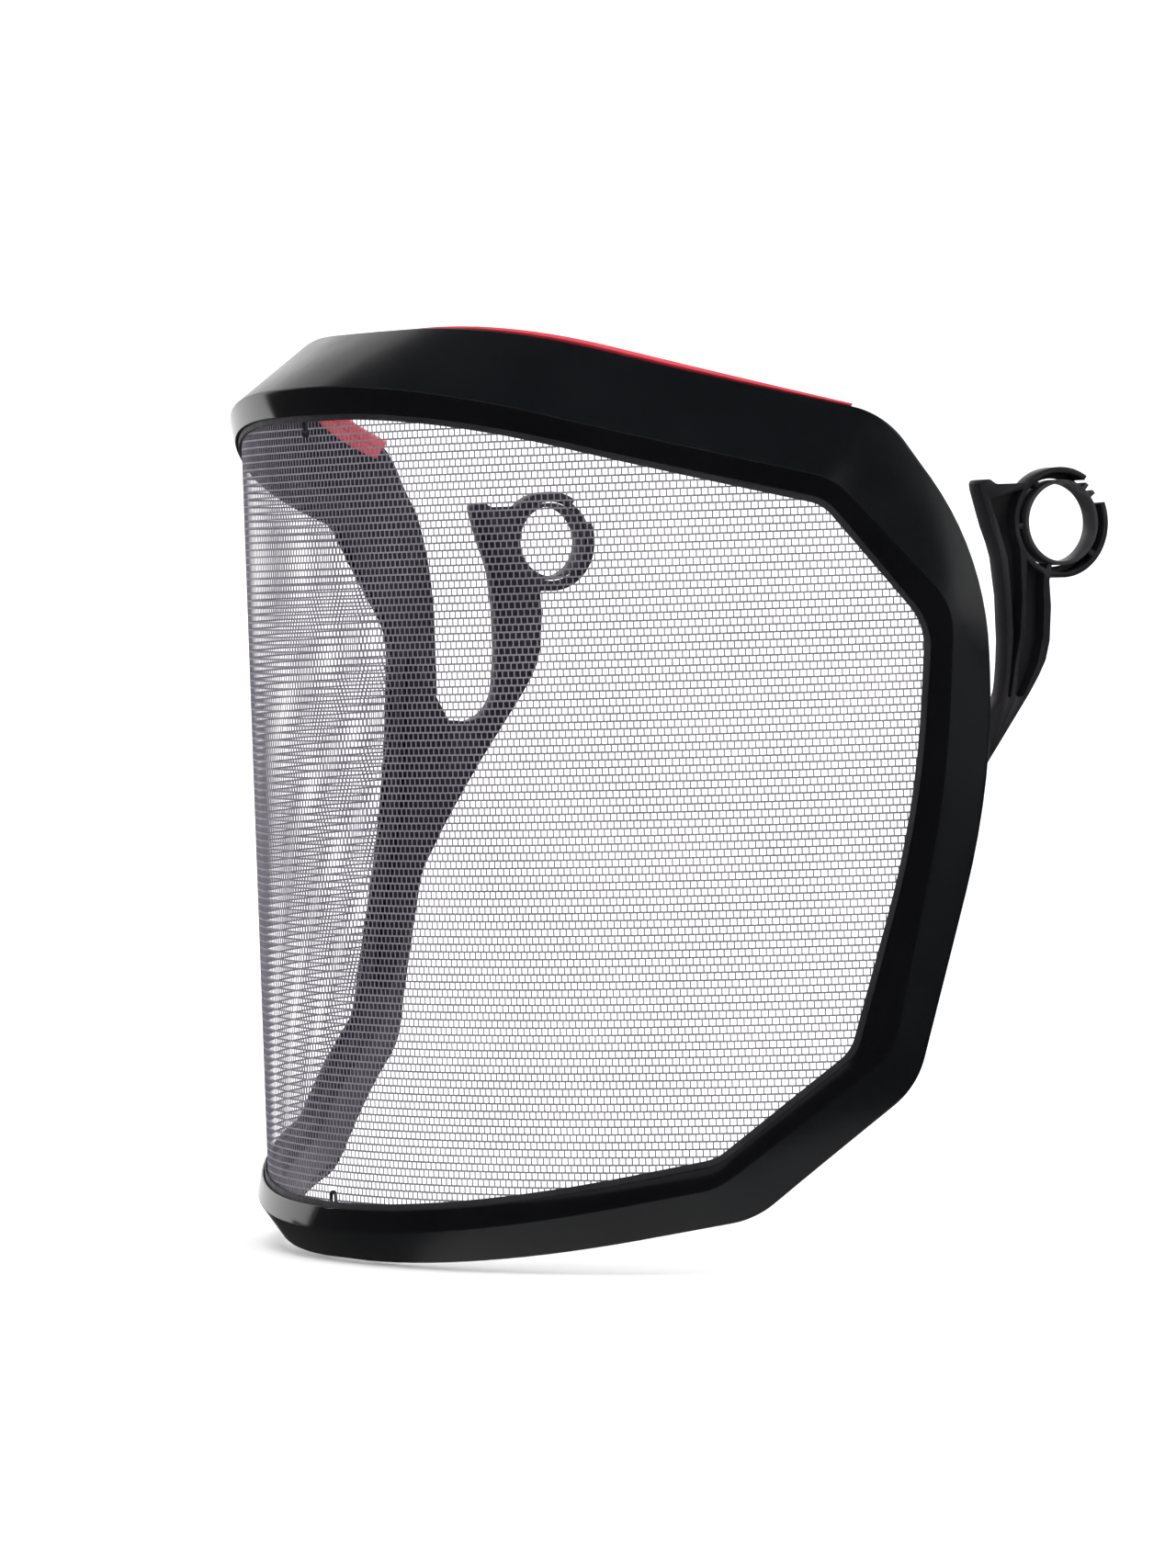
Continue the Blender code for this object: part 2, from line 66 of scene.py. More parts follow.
# Points along each straight run and each fillet, so that every outline has the same count.
RUN_STEPS = [6, 30, 12, 8, 16, 12, 20, 6]
FILLET_STEPS = [14, 10, 10, 8, 10, 10, 14]
RIDGE_RADIUS = 122.3

# Across the frame: where each piece starts or ends, out from the window's edge, and its radii and depths.
LIP_START, LIP_STEP, LIP_OUTER, LIP_INNER = 1.3, 5.8, 121.4, 120.9
BEZEL_WALL = 2.0
CARRIER_START, CARRIER_OUTER, CARRIER_INNER = 0.6, 119.3, 117.3
CARRIER_SETBACK, CARRIER_FRONT, CARRIER_BACK = -1, 2.4, 4.4
GASKET_WIDTH, GASKET_OUTER, GASKET_INNER = 5.2, 120.7, 120.25

# Points closer than this, in metres, are one point.
MERGE_DISTANCE = 0.000001

# The mesh: staggered rows of openings between upright and level bars.
ROW_PITCH, COLUMN_PITCH = 1.51, 1.40
LEVEL_BAR, UPRIGHT_BAR = 0.34, 0.26
MESH_OUTER, MESH_INNER = 120.05, 119.95
MESH_REACH = 3.4
MESH_ROWS_FROM, MESH_ROWS_TO = -140, 34
MESH_PANELS = 3

# The U-shaped borders at the middle of the sheet's top and bottom edges.
NOTCH_BORDER, NOTCH_OUTER, NOTCH_INNER = 0.5, 120.15, 119.6
NOTCH_STEPS = 12
NOTCH_TOP, NOTCH_BOTTOM, NOTCH_DEPTH, NOTCH_HALF_WIDTH = 26.6, -133.8, 3.1, 1.25

# The arms, seen from the side as (y, z).
ARM_INNER_X, ARM_OUTER_X, ARM_FLOOR = 101.8, 106.2, 1.3
ROOT_TRIM_RADIUS, ROOT_REACH_X = 116.3, 113.0
EYE_RADIUS, EYE_BORE, EYE_FLOOR_BORE, EYE_FLOOR = 11.0, 10.0, 8.75, 0.8
EYE_GAP_ANGLES = (20, 55)
PAD_ANGLES, PAD_HALF_ANGLE, PAD_TIP = (125, 183, 250, 318), 3.3, 8.7
BLADE = [(-18.8, 8.9), (-16.4, 9.0), (-15.0, 8.0), (-6.5, 8.0), (-2.0, -8.0), (-3.3, -11.4), (-3.1, -16.6),
         (-3.7, -23.4), (-4.8, -27.2), (-6.5, -30.2), (-9.0, -33.8), (-14.0, -40.2), (-18.6, -46.2),
         (-23.8, -53.3), (-29.0, -60.9)]
ROOT_REAR = [(-34.8, -70.3), (-39.5, -82.0), (-42.6, -92.0), (-46.2, -100.5)]
ROOT_FRONT_INNER = [(-45.6, -92.0), (-42.6, -82.0), (-37.5, -68.0), (-32.3, -56.0), (-30.0, -46.0),
                    (-27.6, -39.6)]
ROOT_FRONT_OUTER = [(-50.6, -92.0), (-47.1, -82.0), (-42.1, -68.0), (-38.6, -56.0), (-37.6, -42.0),
                    (-34.6, -11.6)]
BLADE_FRONT = [(-13.9, -27.0), (-13.6, -23.0), (-13.7, -14.0), (-14.5, -6.5), (-15.3, -3.6), (-16.5, -0.4),
               (-17.5, 3.0), (-18.6, 7.0)]
BLADE_RELIEF = [(-24.2, -28.0), (-24.5, -39.5), (-25.5, -52.0), (-31.0, -66.0), (-20.0, -80.0),
                (20.0, -30.0), (20.0, 20.0), (-24.2, 20.0)]
SLOT_CENTRE, SLOT_RADIUS, SLOT_ANGLES = (-23.0, -30.4), 8.6, (252, 352)
# Pockets in the blade's outer side; each runs along the eye's wall between its two angles.
FRONT_POCKET = [(-9.8, -9.0), (-9.8, -14.0), (-10.5, -22.0), (-12.0, -27.8), (-13.3, -34.3), (-14.0, -34.3),
                (-12.9, -27.8), (-12.2, -22.0), (-12.4, -14.0), (-13.0, -6.5), (-14.8, -0.4), (-16.0, 3.0),
                (-16.9, 6.9)]
FRONT_POCKET_ANGLES = (141, 206)
REAR_POCKET = [(-4.8, -12.0), (-4.8, -16.6), (-5.2, -22.4), (-6.7, -27.8), (-9.6, -33.0), (-10.4, -34.3),
               (-12.1, -34.3), (-11.1, -27.8), (-9.3, -22.0), (-8.9, -14.0)]
REAR_POCKET_ANGLES = (220, 246)
BUSH_BORE, BUSH_RADIUS, BUSH_INNER_X, BUSH_OUTER_X = 7.75, 8.5, 101.9, 106.4
TOOTH_ANGLES, TOOTH_HALF_ANGLE, TOOTH_TIP, TOOTH_INNER_X = (37, 50), 2.6, 9.75, 103.0

# The brow seal runs as far as the upper corner. Its sections are (past the rim, inward, fillet radius).
SEAL_CORNER = 2
SEAL_FULL = [(0.35, 0.1, 0.1), (1.3, 0.1, 0.5), (1.7, 0.9, 0.5), (1.7, 5.2, 0.3), (1.1, 5.9, 0.5),
             (-0.9, 5.9, 0.25), (-1.2, 5.55, 0.1), (-1.5, 5.9, 0.25), (-3.6, 5.9, 0.4), (-3.6, 4.8, 0.3),
             (0.35, 4.8, 0.1)]
SEAL_SLIM = [(0.35, 0.9, 0.1), (0.8, 0.9, 0.2), (1.0, 1.4, 0.3), (1.0, 5.2, 0.3), (0.6, 5.9, 0.4),
             (-0.9, 5.9, 0.25), (-1.2, 5.55, 0.1), (-1.5, 5.9, 0.25), (-3.6, 5.9, 0.4), (-3.6, 4.8, 0.3),
             (0.35, 4.8, 0.1)]
SEAL_SWELL_START = 20.0

# The view that the object is shown from.
CAMERA_AT = (1.42731, -0.85288, -0.00242)
CAMERA_AIM = (-0.871233, 0.489985, -0.029464)
CAMERA_UP = (0.0192, 0.0293, 0.9994)
SENSOR_WIDTH = 36
CAMERA_LENS = 181.42

# The studio, in metres.
FLOOR_Z = -0.1452
BOWL_RADIUS, BOWL_FILLET, BOWL_HEIGHT = 3.2, 0.8, 3.0
WORLD_STRENGTH = 0.05

# The overhead light's place, aim, size and power.
OVERHEAD = ((0, 0, 3.4), (0, 0, 0), (5.0, 5.0), 230)

# Each card's name, headings in degrees from +X toward +Y, lower and upper heights, and strength.
CARD_RADIUS, CARD_STEPS = 2.2, 12
CARDS = [("left_low_card", (-164, -228), (-0.45, -0.06), 1.15),
         ("left_card", (-157, -228), (-0.06, 0.93), 1.15),
         ("left_upper_card", (-168, -228), (0.95, 1.5), 0.5),
         ("front_card", (-145, 5), (0.7, 1.9), 0.35),
         ("right_card", (5, 34), (-0.3, 0.6), 0.25),
         ("rear_card", (35, 130), (0.2, 2.6), 0.9)]

# The floor card's radius, height and strength.
FLOOR_CARD = (0.8, -0.9, 0.4)


# ---------------------------------------------------------------- small tools

def link(obj):
    bpy.context.scene.collection.objects.link(obj)
    return obj


def mesh_object(name, bm, materials, sharp=35):
    """Faces turned outward and shaded smooth except over edges sharper than the angle."""
    bmesh.ops.recalc_face_normals(bm, faces=bm.faces)
    mesh = bpy.data.meshes.new(name)
    bm.to_mesh(mesh)
    bm.free()
    for material in materials:
        mesh.materials.append(material)
    mesh.shade_smooth()
    mesh.set_sharp_from_angle(angle=math.radians(sharp))
    return link(bpy.data.objects.new(name, mesh))


def polar(radius, degrees):
    return Vector((radius * math.cos(math.radians(degrees)), radius * math.sin(math.radians(degrees))))


def corner_arc(before, corner, after, radius, steps):
    """Points round one fillet, which is made smaller where the edges are too short for it."""
    to_before, to_after = before - corner, after - corner
    room = 0.49 * min(to_before.length, to_after.length)
    to_before.normalize()
    to_after.normalize()
    half = to_before.angle(to_after) / 2
    if half > math.radians(89) or radius == 0:
        return [corner.copy() for _ in range(steps + 1)]
    radius = min(radius, room * math.tan(half))
    centre = corner + (to_before + to_after).normalized() * (radius / math.sin(half))
    start = corner + to_before * (radius / math.tan(half)) - centre
    end = corner + to_after * (radius / math.tan(half)) - centre
    sweep = start.angle_signed(end)
    return [centre + Matrix.Rotation(-sweep * k / steps, 2) @ start for k in range(steps + 1)]


def rounded(corners, steps=4):
    """A closed outline of (x, y, radius) corners, each filleted."""
    points = [Vector(c[:2]) for c in corners]
    outline = []
    for k, corner in enumerate(corners):
        outline += corner_arc(points[k - 1], points[k], points[(k + 1) % len(points)], corner[2], steps)
    return outline


def half_outline(top, corners, bottom):
    """From top centre to bottom centre, with the same number of points for every outline."""
    points = [Vector((0, top))] + [Vector(c[:2]) for c in corners] + [Vector((0, bottom))]
    runs = [[points[0]]]
    for k, (_, _, radius) in enumerate(corners):
        runs.append(frame_fillet(points[k], points[k + 1], points[k + 2], radius, FILLET_STEPS[k]))
    runs.append([points[-1]])
    outline = list(runs[0])
    for k, steps in enumerate(RUN_STEPS):
        start, end = runs[k][-1], runs[k + 1][0]
        outline += [start.lerp(end, j / steps) for j in range(1, steps)]
        outline += runs[k + 1]
    return outline


def frame_fillet(before, corner, after, radius, steps):
    """Points round one fillet of the frame, always at its full radius."""
    to_before = (before - corner).normalized()
    to_after = (after - corner).normalized()
    half = to_before.angle(to_after) / 2
    reach = radius / math.tan(half)
    centre = corner + (to_before + to_after).normalized() * (radius / math.sin(half))
    start = corner + to_before * reach - centre
    sweep = start.angle_signed(corner + to_after * reach - centre)
    return [centre + Matrix.Rotation(-sweep * k / steps, 2) @ start for k in range(steps + 1)]


def wrap(s, z, r):
    angle = s / UNROLL_RADIUS
    return Vector((r * math.sin(angle), AXIS_Y - r * math.cos(angle), z)) * MM


# ---------------------------------------------------------------- the frame's cross-sections

def corner_indices():
    """Where the two ends and the middle of each fillet fall in a half outline."""
    indices, at = [0], 0
    for k, steps in enumerate(FILLET_STEPS):
        at += RUN_STEPS[k]
        indices.append(at + steps / 2)
        at += steps
    indices.append(at + RUN_STEPS[-1])
    return indices


def blend_along(values, line):
    """Values at the ends and fillets of an outline, carried to each of its points by a smooth curve."""
    lengths = [0.0]
    for here, there in zip(line, line[1:]):
        lengths.append(lengths[-1] + (there - here).length)
    knots = [lengths[int(i)] for i in corner_indices()]
    slopes = [0.0]
    for k in range(1, len(knots) - 1):
        slopes.append((values[k + 1] - values[k - 1]) / (knots[k + 1] - knots[k - 1]))
    slopes.append(0.0)
    result = []
    for length in lengths:
        k = max(j for j in range(len(knots) - 1) if knots[j] <= length)
        span = knots[k + 1] - knots[k]
        t = (length - knots[k]) / span
        rise = values[k] + (values[k + 1] - values[k]) * t * t * (3 - 2 * t)
        result.append(rise + span * t * (1 - t) * (slopes[k] * (1 - t) - slopes[k + 1] * t))
    return result


def crossing(start, end, line):
    """How far from start the segment to end crosses a line of points."""
    for here, there in zip(line, line[1:]):
        hit = intersect_line_line_2d(start, end, here, there)
        if hit:
            return (hit - start).length
    raise ValueError("the ridge isn't between the window and the rim")


class Station:
    """One cross-section of the frame: t runs out from the window's edge to the rim, r is the radius."""

    def __init__(self, window, rim, rim_radius, ridge_line):
        self.window = window
        self.direction = (rim - window).normalized()
        self.ridge = Vector((crossing(window, rim, ridge_line), RIDGE_RADIUS))
        self.rim = Vector(((rim - window).length, rim_radius))
        self.along = (self.rim - self.ridge).normalized()
        self.inward = Vector((self.along.y, -self.along.x))

    def beyond_rim(self, a, b):
        return self.rim + self.along * a + self.inward * b

    def rim_reach(self):
        return (self.window + self.direction * self.rim.x).x

    def at_radius(self, depth, radius):
        start = self.ridge + self.inward * depth
        return start + self.along * ((radius - start.y) / self.along.y)

    def place(self, point, side=1):
        s, z = self.window + self.direction * point.x
        return wrap(side * s, z, point.y)


def make_stations():
    window, ridge, rim = [half_outline(*part) for part in (WINDOW, RIDGE, RIM)]
    ridge_line = [ridge[1] * Vector((-1, 1))] + ridge + [ridge[-2] * Vector((-1, 1))]
    radii = blend_along(RIM_RADII, rim)
    return [Station(*parts, ridge_line) for parts in zip(window, rim, radii)]


def bezel_section(st):
    inner = st.beyond_rim(0, BEZEL_WALL)
    return [(LIP_START, LIP_OUTER, 0.22), (*st.ridge, 0.45), (*st.rim, 0.9), (*inner, 0.5),
            (LIP_STEP, LIP_INNER, 0.1), (LIP_START, LIP_INNER, 0.2)]


def carrier_section(st):
    foot, heel = st.at_radius(CARRIER_FRONT, CARRIER_OUTER), st.at_radius(CARRIER_BACK, CARRIER_INNER)
    outer = st.beyond_rim(CARRIER_SETBACK, CARRIER_FRONT)
    inner = st.beyond_rim(CARRIER_SETBACK, CARRIER_BACK)
    return [(CARRIER_START, CARRIER_OUTER, 0.3), (*foot, 0.1), (*outer, 0.5), (*inner, 0.7), (*heel, 0.6),
            (CARRIER_START, CARRIER_INNER, 0.7)]


def gasket_section(st):
    return [(0, GASKET_OUTER, 0.15), (GASKET_WIDTH, GASKET_OUTER, 0.1), (GASKET_WIDTH, GASKET_INNER, 0.1),
            (0, GASKET_INNER, 0.15)]


def seal_section(st, end):
    """Slim at the middle and the ends of the seal, and full between them."""
    share = (st.rim_reach() - SEAL_SWELL_START) / (end - SEAL_SWELL_START)
    swell = math.sin(math.pi * max(share, 0.0))
    corners = [Vector(slim).lerp(Vector(full), swell) for slim, full in zip(SEAL_SLIM, SEAL_FULL)]
    return [(*st.beyond_rim(a, b), radius) for a, b, radius in corners]


def loft(bm, sections, closed, slots=None):
    """Quads between neighbouring sections; slots gives each step round the section its material."""
    rings = [[bm.verts.new(p) for p in points] for points in sections]
    count = len(rings)
    for i in range(count if closed else count - 1):
        here, there = rings[i], rings[(i + 1) % count]
        for j in range(len(here)):
            k = (j + 1) % len(here)
            face = bm.faces.new((here[j], here[k], there[k], there[j]))
            face.material_index = slots[j] if slots else 0
    if not closed:
        bm.faces.new(rings[0])
        bm.faces.new(rings[-1])


def ring_piece(name, stations, section, materials, steps=4, slots=None):
    """A closed ring all the way round the window."""
    profiles = [rounded(section(st), steps) for st in stations]
    left = [[st.place(p, 1) for p in profile] for st, profile in zip(stations, profiles)]
    right = [[st.place(p, -1) for p in profile] for st, profile in zip(stations, profiles)]
    bm = bmesh.new()
    loft(bm, left + right[-2:0:-1], closed=True, slots=slots)
    bmesh.ops.remove_doubles(bm, verts=bm.verts, dist=MERGE_DISTANCE)
    return mesh_object(name, bm, materials)


def outer_bezel(stations, gloss, satin):
    """The chamfer beside the window and the edge of the lip are glossier than the rest."""
    steps = 4
    slots = []
    for corner in range(6):
        slots += [0 if corner in (0, 5) else 1] * (steps + 1)
    return ring_piece("outer_bezel_look", stations, bezel_section, [gloss, satin], steps, slots)


def brow_seal(stations, material):
    end = sum(RUN_STEPS[:SEAL_CORNER]) + sum(FILLET_STEPS[:SEAL_CORNER - 1])
    run = stations[:end + 1]
    profiles = [rounded(seal_section(st, run[-1].rim_reach()), 3) for st in run]
    left = [[st.place(p, 1) for p in profile] for st, profile in zip(run, profiles)]
    right = [[st.place(p, -1) for p in profile] for st, profile in zip(run, profiles)]
    bm = bmesh.new()
    loft(bm, right[:0:-1] + left, closed=False)
    bmesh.ops.remove_doubles(bm, verts=bm.verts, dist=MERGE_DISTANCE)
    return mesh_object("brow_seal_look", bm, [material])


# ---------------------------------------------------------------- the mesh

def reach_at(edge, s):
    for here, there in zip(edge, edge[1:]):
        if here.x <= s <= there.x:
            return here.y + (there.y - here.y) * (s - here.x) / max(there.x - here.x, 1e-9)
    return edge[-1].y


class Lattice:
    """Bars on the cylinder, as a closed shell: front faces, back faces and a wall on every open edge."""

    def __init__(self):
        self.index = {}
        self.places = []
        self.faces = []

    def vertex(self, s, z):
        key = (round(s * 1000), round(z * 1000))
        if key not in self.index:
            self.index[key] = len(self.places)
            self.places.append((s, z))
        return self.index[key]

    def face(self, *corners):
        self.faces.append([self.vertex(s, z) for s, z in corners])

    def shell(self, name, material):
        count = len(self.places)
        verts = [wrap(s, z, MESH_OUTER) for s, z in self.places]
        verts += [wrap(s, z, MESH_INNER) for s, z in self.places]
        edges = {}
        for face in self.faces:
            for a, b in zip(face, face[1:] + face[:1]):
                edges[(a, b)] = edges.get((a, b), 0) + 1
        faces = [list(face) for face in self.faces]
        faces += [[v + count for v in reversed(face)] for face in self.faces]
        faces += [[b, a, a + count, b + count] for a, b in edges if (b, a) not in edges]
        mesh = bpy.data.meshes.new(name)
        mesh.from_pydata(verts, [], faces)
        mesh.materials.append(material)
        return link(bpy.data.objects.new(name, mesh))


def mesh_cell(lattice, s, z):
    """One level bar piece with the upright bar that stands on it; the next row is half a cell along."""
    half = COLUMN_PITCH / 2
    bar = UPRIGHT_BAR / 2
    top = z + LEVEL_BAR
    low = [(s - half + bar, z), (s + half - bar, z), (s + half + bar, z)]
    high = [(s - half + bar, top), (s - bar, top), (s + bar, top), (s + half + bar, top)]
    lattice.face(low[0], low[1], high[1], high[0])
    lattice.face(low[1], low[2], high[3], high[2], high[1])
    above = z + ROW_PITCH
    lattice.face(high[1], high[2], (s + bar, above), (s - bar, above))


def in_notch(s, z):
    """Whether an upright bar from this height would cross one of the two locating notches."""
    above = z + ROW_PITCH
    at_top = above > NOTCH_TOP - NOTCH_DEPTH
    at_bottom = z < NOTCH_BOTTOM + NOTCH_DEPTH
    return abs(s) < NOTCH_HALF_WIDTH and (at_top or at_bottom)


def mesh_panels(stations, material):
    edge = [st.window + st.direction * MESH_REACH for st in stations]
    widest = max(range(len(edge)), key=lambda i: edge[i].x)
    upper, lower = edge[:widest + 1], edge[:widest - 1:-1]
    half_width = edge[widest].x
    lattices = [Lattice() for _ in range(MESH_PANELS)]
    rows = range(int(MESH_ROWS_FROM / ROW_PITCH), int(MESH_ROWS_TO / ROW_PITCH))
    columns = int(half_width / COLUMN_PITCH) + 1
    for row in rows:
        z = row * ROW_PITCH
        shift = 0.5 * (row % 2)
        for column in range(-columns, columns + 1):
            s = (column + shift) * COLUMN_PITCH
            if abs(s) > half_width - COLUMN_PITCH or in_notch(s, z):
                continue
            if not reach_at(lower, abs(s)) < z < reach_at(upper, abs(s)) - ROW_PITCH:
                continue
            panel = int((s + half_width) / (2 * half_width) * MESH_PANELS)
            mesh_cell(lattices[min(panel, MESH_PANELS - 1)], s, z)
    return [lattice.shell(f"mesh_panel_{k}", material) for k, lattice in enumerate(lattices)]


def locating_notches(material):
    """A U-shaped border round the small slot in the sheet's top and bottom edges."""
    pieces = []
    for label, z, way in (("top", NOTCH_TOP, -1), ("bottom", NOTCH_BOTTOM, 1)):
        outer = arc_points(NOTCH_HALF_WIDTH, NOTCH_DEPTH, NOTCH_STEPS)
        inner = arc_points(NOTCH_HALF_WIDTH - NOTCH_BORDER, NOTCH_DEPTH, NOTCH_STEPS)
        bm = bmesh.new()
        rings = []
        for (so, zo), (si, zi) in zip(outer, inner):
            corners = [(so, zo, NOTCH_OUTER), (si, zi, NOTCH_OUTER),
                       (si, zi, NOTCH_INNER), (so, zo, NOTCH_INNER)]
            rings.append([wrap(s, z + way * drop, r) for s, drop, r in corners])
        loft(bm, rings, closed=False)
        pieces.append(mesh_object(f"notch_{label}", bm, [material]))
    return pieces


def arc_points(half_width, depth, steps):
    """Down one side, round the bottom and up the other side of a U."""
    points = [(half_width, 0.0)]
    for k in range(steps + 1):
        angle = math.pi * k / steps
        points.append((half_width * math.cos(angle),
                       depth - NOTCH_HALF_WIDTH + half_width * math.sin(angle)))
    points.append((-half_width, 0.0))
    return points


# ---------------------------------------------------------------- arms and bushes

def arc(centre, radius, start, end, step=4):
    steps = max(2, int(abs(end - start) / step))
    return [Vector(centre) + polar(radius, start + (end - start) * k / steps) for k in range(steps + 1)]


def sector(inner, outer, start, end):
    return arc((0, 0), outer, start, end) + arc((0, 0), inner, end, start)


def side_plate(outline, x_near, x_far, side):
    """A (y, z) outline with a thickness along x, on one side of the head, as a bmesh."""
    bm = bmesh.new()
    near = [bm.verts.new((side * x_near * MM, y * MM, z * MM)) for y, z in outline]
    far = [bm.verts.new((side * x_far * MM, y * MM, z * MM)) for y, z in outline]
    bm.faces.new(near)
    bm.faces.new(far)
    for k in range(len(near)):
        j = (k + 1) % len(near)
        bm.faces.new((near[k], near[j], far[j], far[k]))
    return bm


def lofted_plate(near, far, x_near, x_far, side):
    """A body between two unlike outlines that have the same number of points."""
    bm = bmesh.new()
    inner = [bm.verts.new((side * x_near * MM, y * MM, z * MM)) for y, z in near]
    outer = [bm.verts.new((side * x_far * MM, y * MM, z * MM)) for y, z in far]
    bm.faces.new(inner)
    bm.faces.new(outer)
    for k in range(len(inner)):
        j = (k + 1) % len(inner)
        bm.faces.new((inner[k], inner[j], outer[j]))
        bm.faces.new((inner[k], outer[j], outer[k]))
    bmesh.ops.remove_doubles(bm, verts=bm.verts, dist=MERGE_DISTANCE)
    return bm


def smooth_outline(points, radius, steps=5):
    return rounded([(y, z, radius) for y, z in points], steps)


class Solid:
    """A body built up with exact Booleans, whose cutters are removed once they are applied."""

    def __init__(self, name, bm):
        self.obj = mesh_object(name, bm, [])

    def combine(self, bm, operation):
        tool = mesh_object("tool", bm, [])
        modifier = self.obj.modifiers.new("step", "BOOLEAN")
        modifier.operation = operation
        modifier.solver = "EXACT"
        modifier.object = tool
        self.apply()
        bpy.data.objects.remove(tool, do_unlink=True)

    def apply(self):
        graph = bpy.context.evaluated_depsgraph_get()
        mesh = bpy.data.meshes.new_from_object(self.obj.evaluated_get(graph))
        self.obj.modifiers.clear()
        self.obj.data = mesh

    def soften(self, width, materials):
        """Flat faces merged, then every sharp edge rounded."""
        bm = bmesh.new()
        bm.from_mesh(self.obj.data)
        bmesh.ops.remove_doubles(bm, verts=bm.verts, dist=0.02 * MM)
        bmesh.ops.dissolve_limit(bm, angle_limit=math.radians(1), verts=bm.verts, edges=bm.edges)
        bm.to_mesh(self.obj.data)
        bm.free()
        bevel = self.obj.modifiers.new("round", "BEVEL")
        bevel.width = width * MM
        bevel.segments = 2
        bevel.limit_method = "ANGLE"
        bevel.angle_limit = math.radians(38)
        bevel.miter_outer = "MITER_ARC"
        self.apply()
        mesh = self.obj.data
        mesh.materials.clear()
        for material in materials:
            mesh.materials.append(material)
        mesh.shade_smooth()
        mesh.set_sharp_from_angle(angle=math.radians(30))
        return self.obj


def side_disc(radius, x_near, x_far, side, step=4):
    return side_plate(arc((0, 0), radius, 0, 360 - step, step), x_near, x_far, side)


def arm(name, side, material):
    inner, outer = ARM_INNER_X, ARM_OUTER_X
    slot = [tuple(p) for p in arc(SLOT_CENTRE, SLOT_RADIUS, *SLOT_ANGLES, 8)]
    near = smooth_outline(BLADE + ROOT_REAR + ROOT_FRONT_INNER + slot + BLADE_FRONT, 1.6)
    far = smooth_outline(BLADE + ROOT_REAR + ROOT_FRONT_OUTER + slot + BLADE_FRONT, 1.6)
    body = Solid(name, lofted_plate(near, far, inner, ROOT_REACH_X, side))
    body.combine(side_plate(BLADE_RELIEF, outer, ROOT_REACH_X + 1, side), "DIFFERENCE")
    body.combine(side_disc(EYE_RADIUS, inner, outer, side), "UNION")
    body.combine(trim_cylinder(), "INTERSECT")
    for pocket, angles in ((FRONT_POCKET, FRONT_POCKET_ANGLES), (REAR_POCKET, REAR_POCKET_ANGLES)):
        outline = arc((0, 0), EYE_RADIUS, *angles) + smooth_outline(pocket, 0.6, 3)[3:-3]
        body.combine(side_plate(outline, inner + ARM_FLOOR, outer + 1, side), "DIFFERENCE")
    body.combine(side_disc(EYE_BORE, inner + EYE_FLOOR, outer + 1, side), "DIFFERENCE")
    body.combine(side_disc(EYE_FLOOR_BORE, inner - 1, outer, side), "DIFFERENCE")
    gap = sector(EYE_BORE - 0.1, EYE_RADIUS + 2, *EYE_GAP_ANGLES)
    body.combine(side_plate(gap, inner - 1, outer + 1, side), "DIFFERENCE")
    for angle in PAD_ANGLES:
        pad = sector(PAD_TIP, EYE_BORE + 0.5, angle - PAD_HALF_ANGLE, angle + PAD_HALF_ANGLE)
        body.combine(side_plate(pad, inner + 0.2, outer - 0.15, side), "UNION")
    return body.soften(0.22, [material])


def trim_cylinder():
    bm = bmesh.new()
    bmesh.ops.create_cone(bm, cap_ends=True, segments=180, radius1=ROOT_TRIM_RADIUS * MM,
                          radius2=ROOT_TRIM_RADIUS * MM, depth=300 * MM)
    bmesh.ops.translate(bm, verts=bm.verts, vec=(0, AXIS_Y * MM, -50 * MM))
    return bm


def bush(name, side, material):
    inner, outer = BUSH_INNER_X, BUSH_OUTER_X
    body = Solid(name, side_disc(BUSH_RADIUS, inner, outer, side, 3))
    for angle in TOOTH_ANGLES:
        tooth = sector(BUSH_RADIUS - 0.4, TOOTH_TIP, angle - TOOTH_HALF_ANGLE, angle + TOOTH_HALF_ANGLE)
        body.combine(side_plate(tooth, TOOTH_INNER_X, outer, side), "UNION")
    body.combine(side_disc(BUSH_BORE, inner - 1, outer + 1, side, 3), "DIFFERENCE")
    return body.soften(0.18, [material])


# ---------------------------------------------------------------- finishes

